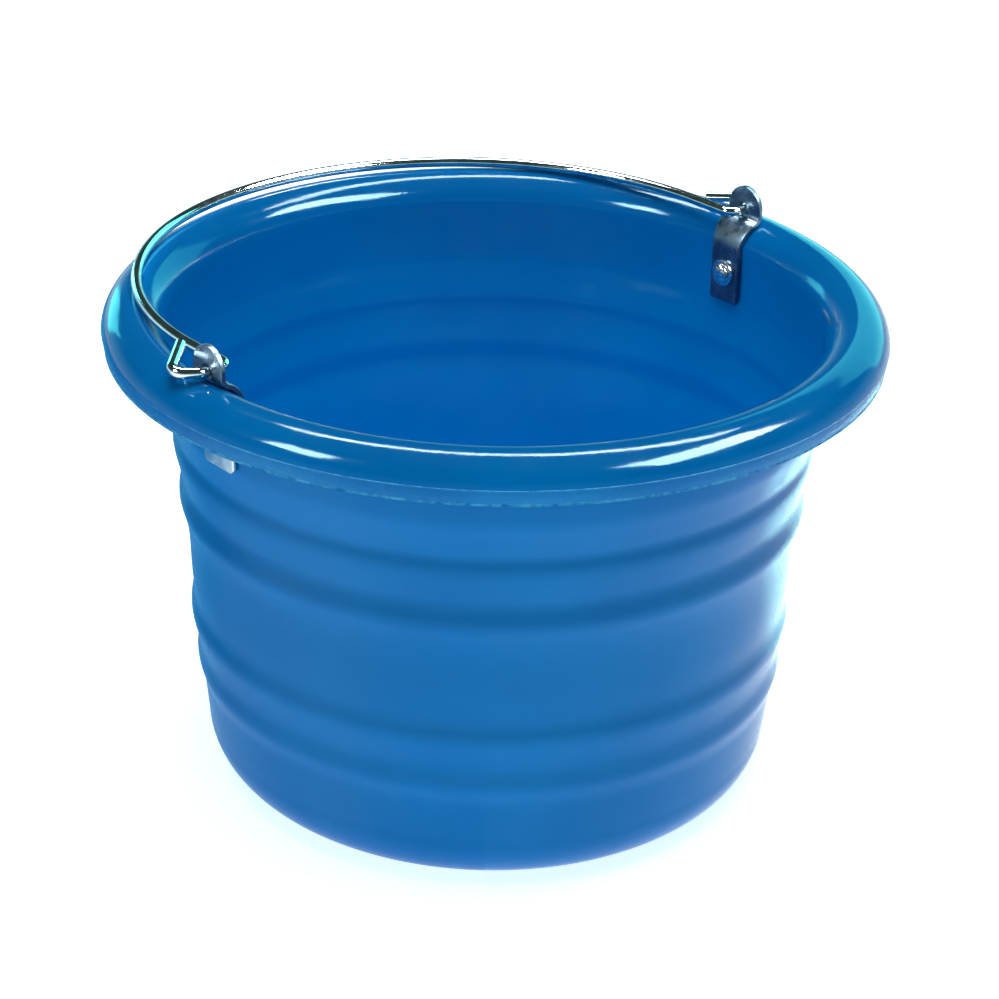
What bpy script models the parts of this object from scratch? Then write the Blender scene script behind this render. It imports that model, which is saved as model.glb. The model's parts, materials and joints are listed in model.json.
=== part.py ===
"""Stable feed bucket: a moulded plastic tub with a rolled rim and a swinging steel bail.

The pivot axis of the bail runs along X, through the ears of two steel lug straps that are bolted
to the tub's wall.  The bail rests folded back towards +Y.  The origin is at the centre of the
base, on the ground, and +Z is up.  Lengths are in metres.
"""

import math

import bmesh
import bpy
from mathutils import Matrix, Vector

MM = 0.001

# Tub
TUB_STEPS = 64
WALL = 3.5 * MM
BASE_RECESS_RADIUS = 101 * MM
BASE_RECESS_EDGE = 107 * MM
BASE_RECESS_DEPTH = 2 * MM
FLOOR_TOP = 6 * MM
CORNER_CENTRE_RADIUS = 130 * MM
OUTER_CORNER = 32 * MM
INNER_CORNER = 28 * MM
WALL_TOP_RADIUS = 184 * MM
WALL_TOP = 256 * MM

# Outer side of the wall above the corner, bottom to top, as (radius, height) in millimetres:
# four hoops, each a slow rise to a crest and a quick fall into a groove above it, and a shoulder.
WALL_OUTLINE_MM = [
    (162.0, 32.0), (163.4, 45.0), (164.9, 58.0), (167.7, 70.0), (166.8, 79.5),
    (170.2, 99.0), (168.6, 109.5), (171.1, 147.0), (173.0, 159.5), (175.6, 170.0),
    (173.8, 182.0), (178.0, 203.0), (177.0, 211.0), (180.6, 224.0), (183.6, 233.0),
]

# Rolled rim: a hollow curl, open underneath
ROLL_RADIUS = 197.5 * MM
ROLL_HEIGHT = 266.5 * MM
ROLL_HALF_WIDTH = 17.5 * MM
ROLL_HALF_DEPTH = 16.5 * MM
ROLL_STEP = 18
LIP_ANGLE = 27
LIP_BOTTOM = 258.6 * MM
LIP_INNER = 210.0 * MM
LIP_OUTER = 211.5 * MM

# Bail and its pivots
WIRE_RADIUS = 3 * MM
PIVOT_HEIGHT = 288.5 * MM
BAIL_RADIUS = 179 * MM
BAIL_LEG = 29 * MM
BAIL_DROOP = 0.8
BAIL_BEND = 6 * MM
BAIL_ARC_STEPS = 32
HOOK_START = 196 * MM
HOOK_ELBOW = (210.5 * MM, 7 * MM, 1 * MM)
HOOK_TIP = (187.5 * MM, 30 * MM)
HOOK_TIP_LIFT = {"left": 4 * MM, "right": 0.0}

# Lug straps
STRAP_WIDTH = 21 * MM
STRAP_THICKNESS = 3 * MM
STRAP_RADIUS = 177.4 * MM
STRAP_BOTTOM = 234.5 * MM
STRAP_BEND = 262 * MM
STRAP_ROLL_GAP = 1.1 * MM
EAR_WIDTH = 25 * MM
EAR_TAPER = (270 * MM, 282 * MM)
EAR_RADIUS = 191 * MM
EAR_CRANK_MM = [(188.6, 283.5), (190.4, 285.2), (191.0, 287.0)]
EAR_TOP = 302.5 * MM
PIVOT_HOLE = 4 * MM

# Fasteners, an M6 set on each side
GAP = 0.3 * MM
BOLT_HEIGHT = 252.5 * MM
BOLT_HOLE = 3.5 * MM
SHANK_RADIUS = 3 * MM
SHANK_END = 196.5 * MM
HEAD_RADIUS = 5.5 * MM
HEAD_DEPTH = 3.3 * MM
HEAD_RIM = 0.8 * MM
SHANK_CHAMFER = 0.6 * MM
WASHER_RADIUS = 8 * MM
WASHER_THICKNESS = 1.6 * MM
WASHER_CHAMFER = 0.3 * MM
SPRING_WASHER_RADIUS = 5.9 * MM
SPRING_WASHER_THICKNESS = 1.6 * MM
SPRING_WASHER_SPLIT = 14
NUT_FLATS = 10 * MM
NUT_THICKNESS = 5 * MM
PLATE_WIDTH = 25 * MM
PLATE_THICKNESS = 2.5 * MM
PLATE_BOTTOM = 233 * MM
PLATE_TOP = 259 * MM
PLATE_CORNER = 3 * MM
ROUND_STEPS = 20

SIDES = {"right": 0.0, "left": math.pi}


def clear_scene():
    for obj in list(bpy.data.objects):
        bpy.data.objects.remove(obj, do_unlink=True)


def make_material(name, colour, roughness, metallic):
    mat = bpy.data.materials.new(name)
    mat.use_nodes = True
    shader = mat.node_tree.nodes["Principled BSDF"]
    shader.inputs["Base Color"].default_value = (*colour, 1.0)
    shader.inputs["Roughness"].default_value = roughness
    shader.inputs["Metallic"].default_value = metallic
    mat.diffuse_color = (*colour, 1.0)
    return mat


def add_object(name, data, mat):
    obj = bpy.data.objects.new(name, data)
    bpy.context.scene.collection.objects.link(obj)
    if not data.materials:
        data.materials.append(mat)
    return obj


def mesh_from(name, bm, sharp_degrees=35):
    """Close off a bmesh as a mesh with outward faces, shaded smooth except at sharp edges."""
    bmesh.ops.recalc_face_normals(bm, faces=bm.faces)
    mesh = bpy.data.meshes.new(name)
    bm.to_mesh(mesh)
    bm.free()
    mesh.shade_smooth()
    mesh.set_sharp_from_angle(angle=math.radians(sharp_degrees))
    return mesh


def along_x(bm, height):
    """Turn a shape made about Z so that its +Z points along +X, at the given height."""
    turn = Matrix.Rotation(math.pi / 2, 4, "Y")
    bmesh.ops.transform(bm, matrix=Matrix.Translation((0, 0, height)) @ turn, verts=bm.verts)


def turned(profile, steps, closed=False, angle=2 * math.pi):
    """Spin (radius, height) points about Z; closed joins the last point back to the first."""
    bm = bmesh.new()
    verts = [bm.verts.new((radius, 0, height)) for radius, height in profile]
    edges = [bm.edges.new(pair) for pair in zip(verts, verts[1:])]
    if closed:
        edges.append(bm.edges.new((verts[-1], verts[0])))
    full = angle > 2 * math.pi - 0.001
    if closed and not full:
        first_cap = bm.faces.new(verts)
        edges = list(first_cap.edges)
    bmesh.ops.spin(
        bm, geom=verts + edges, cent=(0, 0, 0), axis=(0, 0, 1), angle=angle, steps=steps,
        use_merge=full,
    )
    bmesh.ops.remove_doubles(bm, verts=bm.verts, dist=1e-6)
    if not full:
        bmesh.ops.holes_fill(bm, edges=[e for e in bm.edges if e.is_boundary])
    return bm


def prism(outline, start, end):
    """Extrude a (y, z) outline along X from start to end."""
    bm = bmesh.new()
    base = bm.faces.new([bm.verts.new((start, y, z)) for y, z in outline])
    grown = bmesh.ops.extrude_face_region(bm, geom=[base])
    moved = [item for item in grown["geom"] if isinstance(item, bmesh.types.BMVert)]
    bmesh.ops.translate(bm, verts=moved, vec=(end - start, 0, 0))
    return bm


def arc(centre, radii, start, end, steps):
    """Points of an ellipse arc from start to end degrees, both ends included."""
    angles = [math.radians(start + (end - start) * i / steps) for i in range(steps + 1)]
    return [(centre[0] + radii[0] * math.cos(a), centre[1] + radii[1] * math.sin(a)) for a in angles]


def add_cutter(name, bm):
    mesh = mesh_from(name, bm)
    obj = bpy.data.objects.new(name, mesh)
    bpy.context.scene.collection.objects.link(obj)
    obj.hide_render = True
    obj.display_type = "WIRE"
    return obj


def add_boolean(obj, cutter, operation="DIFFERENCE"):
    modifier = obj.modifiers.new(cutter.name, "BOOLEAN")
    modifier.operation = operation
    modifier.solver = "EXACT"
    modifier.object = cutter


def rod_cutter(name, radius, height):
    """A rod along X that passes through both sides of the bucket's wall, short of the lip."""
    half = EAR_RADIUS + 5 * MM
    bm = turned([(0, -half), (radius, -half), (radius, half), (0, half)], ROUND_STEPS)
    along_x(bm, height)
    return add_cutter(name, bm)


def strap_outline_cutter():
    """Front view of a lug strap: square foot, widening over the rim to a half-round ear."""
    half = STRAP_WIDTH / 2
    ear_half = EAR_WIDTH / 2
    narrow_end, wide_start = EAR_TAPER
    outline = [(-half, narrow_end), (-half, STRAP_BOTTOM - MM), (half, STRAP_BOTTOM - MM),
               (half, narrow_end), (ear_half, wide_start)]
    outline += arc((0, EAR_TOP - ear_half), (ear_half, ear_half), 0, 180, 12)
    outline += [(-ear_half, wide_start)]
    reach = EAR_RADIUS + 10 * MM
    return add_cutter("cut_strap_outline", prism(outline, -reach, reach))


def tub_profile():
    """Closed section of the tub's skin, from the axis underneath to the axis on the floor."""
    centre = (CORNER_CENTRE_RADIUS, OUTER_CORNER)
    wall = [(r * MM, z * MM) for r, z in WALL_OUTLINE_MM] + [(WALL_TOP_RADIUS, WALL_TOP)]
    inner_wall = [(r - WALL, z) for r, z in wall[1:]]
    roll = (ROLL_RADIUS, ROLL_HEIGHT)
    skin = (ROLL_HALF_WIDTH, ROLL_HALF_DEPTH)
    hollow = (ROLL_HALF_WIDTH - WALL, ROLL_HALF_DEPTH - WALL)
    floor_corner = (wall[0][0] - WALL - INNER_CORNER, FLOOR_TOP + INNER_CORNER)
    points = [(0, BASE_RECESS_DEPTH), (BASE_RECESS_RADIUS, BASE_RECESS_DEPTH), (BASE_RECESS_EDGE, 0)]
    points += arc(centre, (OUTER_CORNER, OUTER_CORNER), -90, 0, 6)[:-1]
    points += wall
    points += arc(roll, hollow, 180, -LIP_ANGLE, 7)
    points += [(LIP_INNER, LIP_BOTTOM), (LIP_OUTER, LIP_BOTTOM)]
    points += arc(roll, skin, -LIP_ANGLE, 0, 2)[:-1]
    points += arc(roll, skin, 0, 180, 180 // ROLL_STEP)
    points += reversed(inner_wall)
    points += arc(floor_corner, (INNER_CORNER, INNER_CORNER), 0, -90, 6)
    points += [(0, FLOOR_TOP)]
    return points


def build_tub(mat, bolt_cutter):
    mesh = mesh_from("bucket_tub", turned(tub_profile(), TUB_STEPS))
    tub = add_object("bucket_tub", mesh, mat)
    add_boolean(tub, bolt_cutter)
    return tub


def strap_centreline():
    """Side view of a strap as (x, z): up the wall, over the roll's shoulder, up into the ear."""
    offset = STRAP_ROLL_GAP + STRAP_THICKNESS / 2
    radii = (ROLL_HALF_WIDTH + offset, ROLL_HALF_DEPTH + offset)
    shoulder = arc((ROLL_RADIUS, ROLL_HEIGHT), radii, 176, 125, 5)
    crank = [(x * MM, z * MM) for x, z in EAR_CRANK_MM]
    foot = [(STRAP_RADIUS, STRAP_BOTTOM), (STRAP_RADIUS, STRAP_BEND)]
    return foot + shoulder + crank + [(EAR_RADIUS, EAR_TOP)]


def thickened(points, thickness):
    """Both faces of a bent strip as one closed outline, mitred at each bend."""
    path = [Vector(p) for p in points]
    left, right = [], []
    for i, point in enumerate(path):
        before = (point - path[i - 1]).normalized() if i else (path[1] - point).normalized()
        after = (path[i + 1] - point).normalized() if i + 1 < len(path) else before
        normal = Vector((-before.y - after.y, before.x + after.x)).normalized()
        reach = thickness / 2 / normal.dot(Vector((-before.y, before.x)))
        left.append(point + normal * reach)
        right.append(point - normal * reach)
    return left + right[::-1]


def strap_mesh():
    outline = thickened(strap_centreline(), STRAP_THICKNESS)
    half = EAR_WIDTH / 2 + MM
    bm = bmesh.new()
    base = bm.faces.new([bm.verts.new((p.x, -half, p.y)) for p in outline])
    grown = bmesh.ops.extrude_face_region(bm, geom=[base])
    moved = [item for item in grown["geom"] if isinstance(item, bmesh.types.BMVert)]
    bmesh.ops.translate(bm, verts=moved, vec=(0, 2 * half, 0))
    return mesh_from("lug_strap", bm)


def plate_mesh():
    """Flat backing plate with rounded corners, against the outside of the wall."""
    half = PLATE_WIDTH / 2
    radii = (PLATE_CORNER, PLATE_CORNER)
    outline = []
    for y_sign, z, start in ((1, PLATE_BOTTOM, -90), (1, PLATE_TOP, 0), (-1, PLATE_TOP, 90),
                             (-1, PLATE_BOTTOM, 180)):
        inward = PLATE_CORNER if z == PLATE_BOTTOM else -PLATE_CORNER
        outline += arc((y_sign * (half - PLATE_CORNER), z + inward), radii, start, start + 90, 3)
    start = WALL_TOP_RADIUS + GAP
    return mesh_from("backing_plate", prism(outline, start, start + PLATE_THICKNESS))


def stack_positions():
    """X of each fastener's inner face, working out from the strap and from the plate."""
    strap_inner = STRAP_RADIUS - STRAP_THICKNESS / 2
    plate_outer = WALL_TOP_RADIUS + GAP + PLATE_THICKNESS
    washer = strap_inner - GAP - WASHER_THICKNESS
    spring = plate_outer + GAP
    nut = spring + SPRING_WASHER_THICKNESS + GAP
    return {"head": washer - GAP, "washer": washer, "spring": spring, "nut": nut}


def bolt_mesh(places):
    """Domed head inside the tub, plain shank out through strap, wall and plate."""
    face = places["head"]
    dome = arc((0, face - HEAD_RIM), (HEAD_RADIUS, HEAD_DEPTH - HEAD_RIM), -90, 0, 5)
    profile = dome + [(HEAD_RADIUS, face), (SHANK_RADIUS, face)]
    profile += [(SHANK_RADIUS, SHANK_END - SHANK_CHAMFER), (SHANK_RADIUS - SHANK_CHAMFER, SHANK_END)]
    profile += [(0, SHANK_END)]
    bm = turned(profile, ROUND_STEPS)
    along_x(bm, BOLT_HEIGHT)
    return mesh_from("lug_bolt", bm)


def washer_mesh(places):
    start = places["washer"]
    end = start + WASHER_THICKNESS
    profile = [(BOLT_HOLE, start), (WASHER_RADIUS - WASHER_CHAMFER, start),
               (WASHER_RADIUS, start + WASHER_CHAMFER), (WASHER_RADIUS, end), (BOLT_HOLE, end)]
    bm = turned(profile, ROUND_STEPS, closed=True)
    along_x(bm, BOLT_HEIGHT)
    return mesh_from("flat_washer", bm)


def spring_washer_mesh(places):
    """Ring of square section with one narrow split."""
    start = places["spring"]
    end = start + SPRING_WASHER_THICKNESS
    profile = [(BOLT_HOLE, start), (SPRING_WASHER_RADIUS, start), (SPRING_WASHER_RADIUS, end),
               (BOLT_HOLE, end)]
    bm = turned(profile, ROUND_STEPS, closed=True, angle=math.radians(360 - SPRING_WASHER_SPLIT))
    along_x(bm, BOLT_HEIGHT)
    return mesh_from("spring_washer", bm)


def nut_mesh(places):
    start = places["nut"]
    corner = NUT_FLATS / math.sqrt(3)
    outline = [(corner * math.cos(math.radians(a)), BOLT_HEIGHT + corner * math.sin(math.radians(a)))
               for a in range(0, 360, 60)]
    return mesh_from("lug_nut", prism(outline, start, start + NUT_THICKNESS), 20)


def rounded_path(corners, radii, degrees_per_step=15):
    """A polyline through the corners, with each inner corner replaced by an arc."""
    path = [Vector(corners[0])]
    for before, corner, after, radius in zip(corners, corners[1:], corners[2:], radii):
        corner = Vector(corner)
        to_before = (Vector(before) - corner).normalized()
        to_after = (Vector(after) - corner).normalized()
        half_angle = to_before.angle(to_after) / 2
        centre = corner + (to_before + to_after).normalized() * (radius / math.sin(half_angle))
        first = corner + to_before * (radius / math.tan(half_angle)) - centre
        last = corner + to_after * (radius / math.tan(half_angle)) - centre
        sweep = first.angle(last)
        steps = max(2, round(math.degrees(sweep) / degrees_per_step))
        for i in range(steps + 1):
            share = i / steps
            mix = (first * math.sin((1 - share) * sweep) + last * math.sin(share * sweep))
            path.append(centre + mix / math.sin(sweep))
    path.append(Vector(corners[-1]))
    return path


def hook_path(side):
    """From the tip of one hook, through the ear, to the top of the straight leg."""
    sign = -1 if side == "left" else 1
    corners = [
        (sign * HOOK_TIP[0], HOOK_TIP[1], HOOK_TIP_LIFT[side]),
        (sign * HOOK_ELBOW[0], HOOK_ELBOW[1], HOOK_ELBOW[2]),
        (sign * HOOK_START, 0, 0),
        (sign * BAIL_RADIUS, 0, 0),
        (sign * BAIL_RADIUS, BAIL_LEG - 2 * MM, 0),
    ]
    return rounded_path(corners, [BAIL_BEND, 8 * MM, BAIL_BEND])


def bail_path():
    """Centre line of the wire in the bail's own plane, with the pivot axis along X."""
    angles = [math.pi * (1 - i / BAIL_ARC_STEPS) for i in range(BAIL_ARC_STEPS + 1)]
    hoop = [Vector((BAIL_RADIUS * math.cos(a), BAIL_LEG + BAIL_RADIUS * math.sin(a), 0)) for a in angles]
    return hook_path("left") + hoop + hook_path("right")[::-1]


def build_bail(mat):
    points = bail_path()
    curve = bpy.data.curves.new("bail_handle", "CURVE")
    curve.dimensions = "3D"
    curve.twist_mode = "MINIMUM"
    curve.bevel_depth = WIRE_RADIUS
    curve.bevel_resolution = 3
    curve.use_fill_caps = True
    spline = curve.splines.new("POLY")
    spline.points.add(len(points) - 1)
    for slot, point in zip(spline.points, points):
        slot.co = (*point, 1.0)
    bail = add_object("bail_handle", curve, mat)
    bail.location = (0, 0, PIVOT_HEIGHT)
    bail.rotation_euler = (math.radians(-BAIL_DROOP), 0, 0)
    return bail


def main():
    clear_scene()
    plastic = make_material("blue_plastic", (0.006, 0.15, 0.42), 0.28, 0.0)
    wire = make_material("plated_wire", (0.72, 0.74, 0.75), 0.14, 1.0)
    strap = make_material("plated_strap", (0.60, 0.62, 0.64), 0.25, 1.0)
    zinc = make_material("zinc_fastener", (0.66, 0.67, 0.68), 0.30, 1.0)

    bolt_cutter = rod_cutter("cut_bolt_line", BOLT_HOLE, BOLT_HEIGHT)
    pivot_cutter = rod_cutter("cut_pivot_line", PIVOT_HOLE, PIVOT_HEIGHT)
    outline_cutter = strap_outline_cutter()
    places = stack_positions()

    build_tub(plastic, bolt_cutter)
    build_bail(wire)

    pieces = [
        ("lug_strap", strap_mesh(), strap, [(outline_cutter, "INTERSECT"), (bolt_cutter, "DIFFERENCE"),
                                            (pivot_cutter, "DIFFERENCE")]),
        ("backing_plate", plate_mesh(), zinc, [(bolt_cutter, "DIFFERENCE")]),
        ("lug_bolt", bolt_mesh(places), zinc, []),
        ("flat_washer", washer_mesh(places), zinc, []),
        ("spring_washer", spring_washer_mesh(places), zinc, []),
        ("lug_nut", nut_mesh(places), zinc, [(bolt_cutter, "DIFFERENCE")]),
    ]
    for side, angle in SIDES.items():
        for name, mesh, mat, cuts in pieces:
            piece = add_object(f"{name}_{side}", mesh, mat)
            piece.rotation_euler = (0, 0, angle)
            for cutter, operation in cuts:
                add_boolean(piece, cutter, operation)


main()
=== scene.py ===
# %% [markdown]
# # A stable feed bucket, piece by piece
#
# The bucket is a blue moulded tub with a thick rolled rim. A bail of plated steel wire swings in
# two bent straps, and each strap is held by one bolt through the tub's wall. The sizes of the
# engineering model are loaded first as a fixed frame. Every piece below is then made again with
# the fine shape and the finish that a buyer would see, in the same place and at the same size.

# %% Load the frame
import json
import math

import bmesh
import bpy
import numpy as np
from mathutils import Matrix, Vector, noise


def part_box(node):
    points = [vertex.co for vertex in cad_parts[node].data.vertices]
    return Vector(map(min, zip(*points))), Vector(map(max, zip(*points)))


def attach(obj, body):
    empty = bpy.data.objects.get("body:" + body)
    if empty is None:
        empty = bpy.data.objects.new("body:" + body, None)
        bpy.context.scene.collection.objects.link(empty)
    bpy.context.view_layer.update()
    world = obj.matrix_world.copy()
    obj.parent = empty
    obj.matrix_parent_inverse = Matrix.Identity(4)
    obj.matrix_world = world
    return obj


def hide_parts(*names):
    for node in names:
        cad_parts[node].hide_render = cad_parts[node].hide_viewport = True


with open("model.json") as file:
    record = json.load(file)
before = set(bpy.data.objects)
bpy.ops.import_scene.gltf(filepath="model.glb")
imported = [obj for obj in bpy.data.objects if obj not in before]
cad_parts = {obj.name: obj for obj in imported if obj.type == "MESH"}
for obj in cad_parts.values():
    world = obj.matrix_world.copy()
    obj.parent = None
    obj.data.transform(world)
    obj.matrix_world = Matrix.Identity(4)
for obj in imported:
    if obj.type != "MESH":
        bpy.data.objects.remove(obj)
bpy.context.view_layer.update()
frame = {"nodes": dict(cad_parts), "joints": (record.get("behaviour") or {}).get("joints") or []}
print("nodes to dress:", len(frame["nodes"]))

# %% [markdown]
# ## Sizes that everything else follows
#
# Lengths are in metres, as everywhere in Blender, so millimetres are multiplied by MM. The rim and
# the ear heights are read from the frame, and so is the axis that the bail turns on. That way a
# piece made here can't drift away from the model that it dresses.

# %% Driving sizes
MM = 0.001
rim_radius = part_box("bucket_tub")[1].x
rim_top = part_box("bucket_tub")[1].z
ear_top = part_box("lug_strap_right")[1].z
pivot_height = frame["joints"][0]["pos_m"][2]
bolt_axis = sum(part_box("lug_bolt_right")[i].z for i in (0, 1)) / 2
print(f"rim {rim_radius / MM:.0f} mm out, {rim_top / MM:.0f} mm up; pivot at {pivot_height / MM:.1f} mm")

# %% [markdown]
# ## One tool for nearly every piece: the loft
#
# A loft joins a row of rings into a skin. A tub is a loft of circles, a wire is a loft of circles
# along a path, and a bent strap is a loft of small rounded rectangles. Blender's Screw modifier or
# `bmesh.ops.spin` could turn the tub as well. The loft is used here because each ring may differ a
# little from the last, and that is where dents, burrs and threads come from.

# %% A loft helper
def loft(name, rings, wrap=False, sharp_degrees=38):
    """Skin over equal rings of points; wrap joins the last ring to the first, or ends are capped."""
    count = len(rings[0])
    verts = [tuple(point) for ring in rings for point in ring]
    faces = []
    for row in range(len(rings) if wrap else len(rings) - 1):
        low, high = row * count, (row + 1) % len(rings) * count
        for i in range(count):
            j = (i + 1) % count
            faces.append((low + i, low + j, high + j, high + i))
    if not wrap:
        faces.append(tuple(reversed(range(count))))
        faces.append(tuple(range(len(verts) - count, len(verts))))
    mesh = bpy.data.meshes.new(name)
    mesh.from_pydata(verts, [], faces)
    bm = bmesh.new()
    bm.from_mesh(mesh)
    bmesh.ops.recalc_face_normals(bm, faces=bm.faces)
    bm.to_mesh(mesh)
    bm.free()
    mesh.shade_smooth()
    mesh.set_sharp_from_angle(angle=math.radians(sharp_degrees))
    obj = bpy.data.objects.new(name, mesh)
    bpy.context.scene.collection.objects.link(obj)
    return obj


def circle_about_z(radius, height, count):
    """A level ring of points, counted anticlockwise from +X."""
    turns = [2 * math.pi * i / count for i in range(count)]
    return [(radius * math.cos(t), radius * math.sin(t), height) for t in turns]


print("loft ready:", callable(loft))

# %% [markdown]
# ## The section of the tub
#
# Cut the tub down the middle and one half of the cut edge is its section. It starts under the base,
# rounds the corner, climbs the wall over four swelling hoops, and curls over into the rim. Each
# hoop rises slowly and drops quickly into a groove, which is what gives the wall its stepped look.
# Only the crests, grooves and shoulders are written down. A Catmull-Rom curve, which passes
# through every point it is given, fills in the smooth wall between them.

# %% Curve helpers
def smooth_through(points, spacing):
    """Catmull-Rom curve through 2-D points, sampled about every `spacing`."""
    path = [Vector(p) for p in points]
    path = [2 * path[0] - path[1]] + path + [2 * path[-1] - path[-2]]
    out = []
    for a, b, c, d in zip(path, path[1:], path[2:], path[3:]):
        steps = max(2, round((c - b).length / spacing))
        for i in range(steps):
            t = i / steps
            out.append(0.5 * (2 * b + (c - a) * t + (2 * a - 5 * b + 4 * c - d) * t ** 2
                              + (3 * b - a - 3 * c + d) * t ** 3))
    return out + [path[-2]]


def arc(centre, radii, start, end, steps):
    """Points of an ellipse arc from start to end degrees."""
    angles = [math.radians(start + (end - start) * i / steps) for i in range(steps + 1)]
    return [Vector((centre[0] + radii[0] * math.cos(a), centre[1] + radii[1] * math.sin(a)))
            for a in angles]


# %% The wall's outline
wall_thickness = 3.5 * MM
hoops_mm = [(162.0, 32.0), (162.7, 38.0), (163.4, 45.0), (164.9, 58.0), (167.0, 66.0),
            (167.7, 70.5), (166.8, 79.5), (168.3, 89.0), (169.9, 96.0), (170.2, 101.0),
            (168.6, 109.5), (169.8, 125.0), (171.1, 147.0), (173.0, 159.5), (175.2, 167.5),
            (175.6, 172.0), (173.8, 182.0), (175.3, 190.0), (177.6, 200.0), (178.0, 205.0),
            (177.0, 211.0), (178.6, 217.0), (180.7, 224.0), (183.2, 232.0), (183.9, 240.0), (184.0, 256.0)]
outer_wall = smooth_through([(r * MM, z * MM) for r, z in hoops_mm], 2.2 * MM)
inner_wall = [Vector((p.x - wall_thickness, p.y)) for p in outer_wall if p.y > 36 * MM]
print("wall rows:", len(outer_wall), "outside,", len(inner_wall), "inside")

# %% [markdown]
# ## The rolled rim and its trimmed edge
#
# The rim is a hollow curl, open underneath, so it is stiff and kind to a horse's chin. Its section
# is an ellipse for the outer skin and a smaller one for the hollow. Low on its outside a real one
# has a band where the waste was cut off after moulding: a fine ridge, a rough strip about 9 mm
# tall, and a bead along the bottom. The ridge and bead are raised by less than a millimetre, and
# they are modelled so that they catch the light as two bright lines; a paler blue on their faces
# adds painted highlight to those lines.

# %% The rim's outline
roll_centre = (rim_radius - 17.5 * MM, rim_top - 16.5 * MM)
roll_skin = (17.5 * MM, 16.5 * MM)
roll_hollow = (roll_skin[0] - wall_thickness, roll_skin[1] - wall_thickness)
trim_top_angle = 9
trim_bottom_angle = -24
hollow_side = smooth_through([(184.0 * MM, 256.0 * MM), (183.8 * MM, 261.0 * MM),
                              (183.5 * MM, 266.5 * MM)], 1.5 * MM)[1:-1]
hollow_side += arc(roll_centre, roll_hollow, 180, -25, 26)
lip = [Vector((209.5 * MM, 259.6 * MM)), Vector((210.2 * MM, 258.7 * MM)),
       Vector((211.4 * MM, 258.6 * MM)), Vector((212.4 * MM, 259.0 * MM)),
       Vector((213.0 * MM, 259.9 * MM))]
print("lip bottom at", round(min(p.y for p in lip) / MM, 1), "mm")


# %% The trimmed band: bead, rough strip, ridge
def trimmed_band():
    """The band's rows, bottom to top, set back from the rim's ellipse between bead and ridge."""
    rows = []
    for i in range(15):
        share = i / 14
        angle = math.radians(trim_bottom_angle + (trim_top_angle - trim_bottom_angle) * share)
        set_back = 0.75 * MM * min(1, share * 7, (1 - share) * 9)
        rows.append(Vector((roll_centre[0] + (roll_skin[0] - set_back) * math.cos(angle),
                            roll_centre[1] + roll_skin[1] * math.sin(angle))))
    return rows


band = trimmed_band()
rim_outside = arc(roll_centre, roll_skin, trim_top_angle, 180, 57)[1:]
inner_neck = smooth_through([(180.0 * MM, 266.5 * MM), (180.2 * MM, 261.0 * MM),
                             (180.4 * MM, 256.5 * MM), (180.5 * MM, 252.0 * MM)], 2 * MM)[1:-1]
print("band rows:", len(band), "rim rows:", len(rim_outside))

# %% [markdown]
# ## Base and floor
#
# Under the base a shallow recess leaves a flat ring to stand on, so that grit under the middle
# doesn't make the bucket rock. A small round mark at the centre is where the plastic was let into
# the mould. The floor inside is flat and meets the wall in a wide radius that is easy to rinse.

# %% The whole section
under_base = [Vector(p) * MM for p in ((3.0, 2.8), (5.0, 2.8), (5.6, 2.0), (40.0, 2.0), (75.0, 2.0),
                                       (100.0, 2.0), (103.0, 1.4), (106.0, 0.2), (108.0, 0.0),
                                       (119.0, 0.0))]
outer_corner = arc((130 * MM, 32 * MM), (32 * MM, 32 * MM), -90, 0, 20)[:-1]
inner_corner = arc((130.5 * MM, 34 * MM), (28 * MM, 28 * MM), 0, -90, 18)
floor_rows = [Vector((r * MM, 6 * MM)) for r in (115, 95, 75, 50, 25, 3)]
wall_inside = [p for p in reversed(inner_wall) if p.y < 251 * MM]
section = under_base + outer_corner + outer_wall + hollow_side + lip
band_start = len(section)
section += band
band_end = len(section)
section += rim_outside + inner_neck + wall_inside + inner_corner + floor_rows
print("section rows:", len(section))

# %% [markdown]
# ## Turning the section into the tub
#
# Every row of the section becomes a ring of 256 points. A moulded wall is never a perfect cone: it
# cools unevenly and pulls in by fractions of a millimetre. A slow noise moves the wall in and out
# by up to 0.6 mm, fading out near the straps so that they still sit against it. The trimmed band
# gets a quick noise, because a knife leaves it ragged. Noise is sampled in space, so it is the
# same every run.

# %% Rings of the tub
turns = 256
wall_wave = 0.6 * MM
knife_wave = 0.28 * MM


def wall_share(height):
    """1 on the open wall, fading to 0 at the foot and at the straps."""
    return max(0.0, min(1.0, (height - 25 * MM) / (40 * MM), (232 * MM - height) / (30 * MM)))


def tub_ring(row, point):
    ring = []
    for x, y, z in circle_about_z(point.x, point.y, turns):
        spot = Vector((x, y, z))
        move = wall_wave * wall_share(z) * noise.noise(spot * 14) if point.x > 0.12 else 0.0
        if band_start < row < band_end - 1:
            move -= knife_wave * abs(noise.noise(spot * 420)) + 0.2 * MM * abs(noise.noise(spot * 130))
        scale = 1 + move / point.x
        ring.append((x * scale, y * scale, z))
    return ring


tub = loft("bucket_skin", [tub_ring(row, point) for row, point in enumerate(section)])
print("tub faces:", len(tub.data.polygons))

# %% [markdown]
# ## Bolt holes
#
# Each strap's bolt passes right through the wall, so the wall gets a real hole there. A rod is laid
# through both sides of the tub along the X axis, and a Boolean modifier takes it away. The modifier
# is applied, because the tub needs no more edits.

# %% Cut with a rod
def rod_along_x(name, radius, start, end, height, count=32):
    ring = [(radius * math.cos(2 * math.pi * i / count), radius * math.sin(2 * math.pi * i / count))
            for i in range(count)]
    return loft(name, [[(x, y, height + z) for y, z in ring] for x in (start, end)])


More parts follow.
